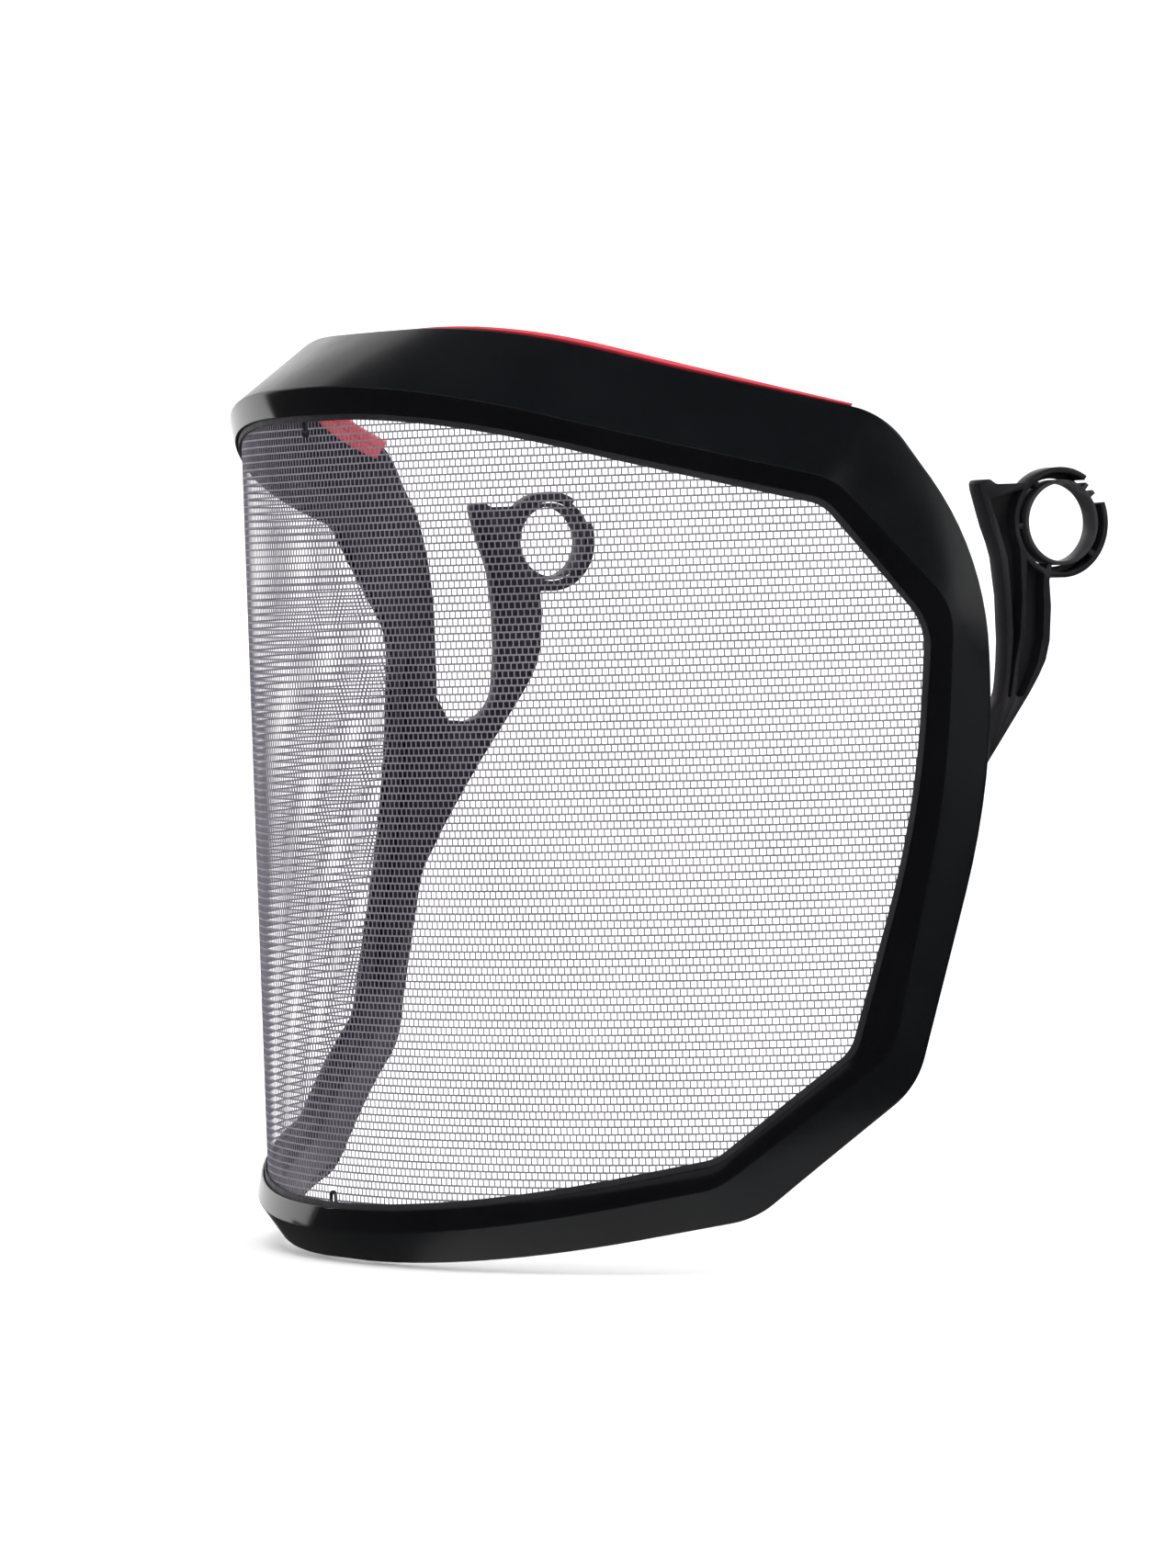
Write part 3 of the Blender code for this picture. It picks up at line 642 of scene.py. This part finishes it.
class Finish:
    """A Principled material with a few chained texture nodes."""

    def __init__(self, name):
        self.material = bpy.data.materials.new(name)
        self.material.use_nodes = True
        self.tree = self.material.node_tree
        self.shader = self.tree.nodes["Principled BSDF"]
        self.place = self.tree.nodes.new("ShaderNodeTexCoord").outputs["Object"]

    def set(self, **values):
        for label, value in values.items():
            self.shader.inputs[label.replace("_", " ")].default_value = value

    def noise(self, scale, detail=4.0, roughness=0.55, stretch=(1, 1, 1)):
        mapping = self.tree.nodes.new("ShaderNodeMapping")
        mapping.inputs["Scale"].default_value = stretch
        node = self.tree.nodes.new("ShaderNodeTexNoise")
        node.inputs["Scale"].default_value = scale
        node.inputs["Detail"].default_value = detail
        node.inputs["Roughness"].default_value = roughness
        self.tree.links.new(self.place, mapping.inputs["Vector"])
        self.tree.links.new(mapping.outputs["Vector"], node.inputs["Vector"])
        return node.outputs["Fac"]

    def spread(self, value, low, high, to_low, to_high):
        node = self.tree.nodes.new("ShaderNodeMapRange")
        for label, number in (("From Min", low), ("From Max", high),
                              ("To Min", to_low), ("To Max", to_high)):
            node.inputs[label].default_value = number
        self.tree.links.new(value, node.inputs["Value"])
        return node.outputs["Result"]

    def mix(self, factor, low, high):
        node = self.tree.nodes.new("ShaderNodeMix")
        node.data_type = "RGBA"
        node.inputs["A"].default_value = (*low, 1)
        node.inputs["B"].default_value = (*high, 1)
        self.tree.links.new(factor, node.inputs["Factor"])
        return node.outputs["Result"]

    def bump(self, height, strength, distance):
        node = self.tree.nodes.new("ShaderNodeBump")
        node.inputs["Strength"].default_value = strength
        node.inputs["Distance"].default_value = distance
        self.tree.links.new(height, node.inputs["Height"])
        self.tree.links.new(node.outputs["Normal"], self.shader.inputs["Normal"])

    def feed(self, output, label):
        self.tree.links.new(output, self.shader.inputs[label])


def plastic(name, dark, light, smooth, rough, grain, grain_depth):
    """Moulded plastic: a fine moulded grain, cloudy sheen, and faint dust."""
    finish = Finish(name)
    cloud = finish.noise(38, 3.0)
    finish.feed(finish.mix(finish.spread(cloud, 0.35, 0.7, 0, 1), dark, light), "Base Color")
    finish.feed(finish.spread(finish.noise(90, 5.0), 0.3, 0.75, smooth, rough), "Roughness")
    finish.bump(finish.noise(grain, 2.0), 0.06, grain_depth)
    return finish.material


def rubber(name, dark, light):
    finish = Finish(name)
    finish.feed(finish.mix(finish.spread(finish.noise(60, 4.0), 0.35, 0.7, 0, 1), dark, light), "Base Color")
    finish.feed(finish.spread(finish.noise(300, 3.0), 0.3, 0.7, 0.45, 0.62), "Roughness")
    finish.bump(finish.noise(1500, 2.0), 0.3, 0.0001)
    return finish.material


def etched_steel(name):
    """Thin grey painted sheet, a little paler and duller in places."""
    finish = Finish(name)
    finish.feed(finish.mix(finish.spread(finish.noise(45, 4.0), 0.3, 0.7, 0, 1), (0.115, 0.104, 0.132),
                           (0.17, 0.154, 0.192)), "Base Color")
    finish.feed(finish.spread(finish.noise(200, 4.0), 0.3, 0.7, 0.4, 0.6), "Roughness")
    finish.bump(finish.noise(2500, 2.0), 0.2, 0.00005)
    return finish.material


def zinc(name):
    finish = Finish(name)
    finish.feed(finish.mix(finish.spread(finish.noise(400, 4.0), 0.3, 0.7, 0, 1), (0.38, 0.38, 0.4),
                           (0.55, 0.55, 0.56)), "Base Color")
    finish.feed(finish.spread(finish.noise(700, 4.0), 0.3, 0.7, 0.22, 0.45), "Roughness")
    finish.set(Metallic=1.0)
    return finish.material


def studio_paper(name, colour):
    finish = Finish(name)
    finish.feed(finish.mix(finish.noise(3, 2.0), colour, tuple(c * 0.985 for c in colour)), "Base Color")
    finish.set(Roughness=0.9, Specular_IOR_Level=0.0)
    return finish.material


# ---------------------------------------------------------------- studio

def studio(material):
    """A pale floor that curves up all round into a pale wall. Gloss mirrors the cards and not this."""
    profile = [(0.0, 0.0), (1.0, 0.0), (BOWL_RADIUS - BOWL_FILLET, 0.0)]
    for angle in range(10, 91, 10):
        turn = math.radians(angle)
        radius = BOWL_RADIUS - BOWL_FILLET * (1 - math.sin(turn))
        profile.append((radius, BOWL_FILLET * (1 - math.cos(turn))))
    profile.append((BOWL_RADIUS, BOWL_HEIGHT))
    bm = bmesh.new()
    rings = []
    for radius, height in profile:
        places = [polar(radius, angle) for angle in range(0, 360, 5)]
        rings.append([bm.verts.new((p.x, p.y, FLOOR_Z + height)) for p in places])
    for low, high in zip(rings, rings[1:]):
        for k in range(len(low)):
            j = (k + 1) % len(low)
            bm.faces.new((low[k], low[j], high[j], high[k]))
    bmesh.ops.remove_doubles(bm, verts=bm.verts, dist=MERGE_DISTANCE)
    bowl = mesh_object("floor_and_wall", bm, [material], 60)
    bowl.visible_glossy = False
    bowl.visible_shadow = False


def glow(strength):
    """An evenly glowing white."""
    material = bpy.data.materials.new("card_glow")
    material.use_nodes = True
    shader = material.node_tree.nodes["Principled BSDF"]
    shader.inputs["Base Color"].default_value = (0, 0, 0, 1)
    shader.inputs["Emission Color"].default_value = (1, 1, 1, 1)
    shader.inputs["Emission Strength"].default_value = strength
    return material


def reflected_only(obj):
    """Shown in gloss alone: not to the camera, and giving neither soft light nor shadow."""
    obj.visible_camera = False
    obj.visible_diffuse = False
    obj.visible_shadow = False


def card(name, headings, heights, strength):
    """A bent soft card that only shows as a reflection."""
    bm = bmesh.new()
    start, end = headings
    columns = []
    for k in range(CARD_STEPS + 1):
        place = polar(CARD_RADIUS, start + (end - start) * k / CARD_STEPS)
        columns.append([bm.verts.new((place.x, place.y, height)) for height in heights])
    for here, there in zip(columns, columns[1:]):
        bm.faces.new((here[0], there[0], there[1], here[1]))
    reflected_only(mesh_object(name, bm, [glow(strength)]))


def floor_card(name, radius, height, strength):
    """A level round card, below the floor, for the gloss of faces that look down."""
    bm = bmesh.new()
    bm.faces.new([bm.verts.new((*polar(radius, angle), height)) for angle in range(0, 360, 10)])
    reflected_only(mesh_object(name, bm, [glow(strength)]))


def area_light(name, at, aim, size, power):
    """A soft rectangular light that gloss doesn't mirror."""
    light = bpy.data.lights.new(name, "AREA")
    light.shape = "RECTANGLE"
    light.size, light.size_y = size
    light.energy = power
    obj = link(bpy.data.objects.new(name, light))
    obj.location = at
    obj.rotation_euler = (Vector(aim) - Vector(at)).to_track_quat("-Z", "Y").to_euler()
    obj.visible_glossy = False
    obj.visible_camera = False


def camera():
    data = bpy.data.cameras.new("view")
    data.lens = CAMERA_LENS
    data.sensor_width = SENSOR_WIDTH
    obj = link(bpy.data.objects.new("view", data))
    back = -Vector(CAMERA_AIM).normalized()
    right = Vector(CAMERA_UP).cross(back).normalized()
    up = back.cross(right)
    obj.matrix_world = Matrix.Translation(CAMERA_AT) @ Matrix((right, up, back)).transposed().to_4x4()
    bpy.context.scene.camera = obj


def world(strength):
    scene_world = bpy.data.worlds.new("studio")
    scene_world.use_nodes = True
    background = scene_world.node_tree.nodes["Background"]
    background.inputs["Color"].default_value = (1, 1, 1, 1)
    background.inputs["Strength"].default_value = strength
    bpy.context.scene.world = scene_world


# ---------------------------------------------------------------- putting it together

def dress():
    gloss = plastic("gloss_black", (0.0012, 0.0012, 0.0018), (0.002, 0.002, 0.0028), 0.08, 0.13, 900,
                    0.00001)
    satin = plastic("satin_black", (0.002, 0.0025, 0.0035), (0.0035, 0.004, 0.005), 0.2, 0.27, 900, 0.00001)
    # The arms' and notches' black is darker than the carrier's: painted shade, standing for the shade in the
    # arms' pockets.
    shaded_matt = plastic("matt_black_painted_shade", (0.006, 0.006, 0.008), (0.011, 0.011, 0.013), 0.3, 0.42, 700, 0.00003)
    # The carrier's black is lighter than the arms': painted light, standing for light falling on the
    # carrier's inner side.
    inner = plastic("carrier_black_painted_light", (0.013, 0.014, 0.017), (0.022, 0.023, 0.028), 0.32, 0.45, 700, 0.00003)
    bush_black = plastic("bush_black", (0.02, 0.02, 0.022), (0.03, 0.03, 0.032), 0.3, 0.42, 900, 0.00002)
    gasket_grey = rubber("gasket_grey", (0.014, 0.013, 0.017), (0.022, 0.02, 0.026))
    red = rubber("seal_red", (0.48, 0.03, 0.05), (0.6, 0.055, 0.075))
    steel = etched_steel("mesh_grey")

    stations = make_stations()
    show(outer_bezel(stations, gloss, satin), "visor", "outer_bezel")
    show(ring_piece("carrier_look", stations, carrier_section, [inner]), "visor", "carrier_frame")
    show(ring_piece("gasket_look", stations, gasket_section, [gasket_grey], 2), "visor", "mesh_gasket")
    show(brow_seal(stations, red), "visor", "brow_seal")
    for piece in mesh_panels(stations, steel) + locating_notches(shaded_matt):
        show(piece, "visor", "mesh_screen")
    for side, hand in ((1, "left"), (-1, "right")):
        show(arm(f"arm_{hand}_look", side, shaded_matt), "visor", f"arm_{hand}")
        show(bush(f"bush_{hand}_look", side, bush_black), f"{hand}_bush", f"pivot_bush_{hand}")


def show(piece, body, node):
    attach(piece, body)
    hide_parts(node)


def plate_screws(frame):
    metal = zinc("zinc_plate")
    for name, node in frame["nodes"].items():
        if name.startswith("arm_screw"):
            node.data.materials.clear()
            node.data.materials.append(metal)


def light_it():
    studio(studio_paper("white_paper", (0.9, 0.9, 0.9)))
    world(WORLD_STRENGTH)
    bpy.context.scene.view_settings.view_transform = "Standard"
    area_light("overhead", *OVERHEAD)
    for name, headings, heights, strength in CARDS:
        card(name, headings, heights, strength)
    floor_card("floor_card", *FLOOR_CARD)


def main():
    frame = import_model()
    dress()
    plate_screws(frame)
    camera()
    light_it()


main()
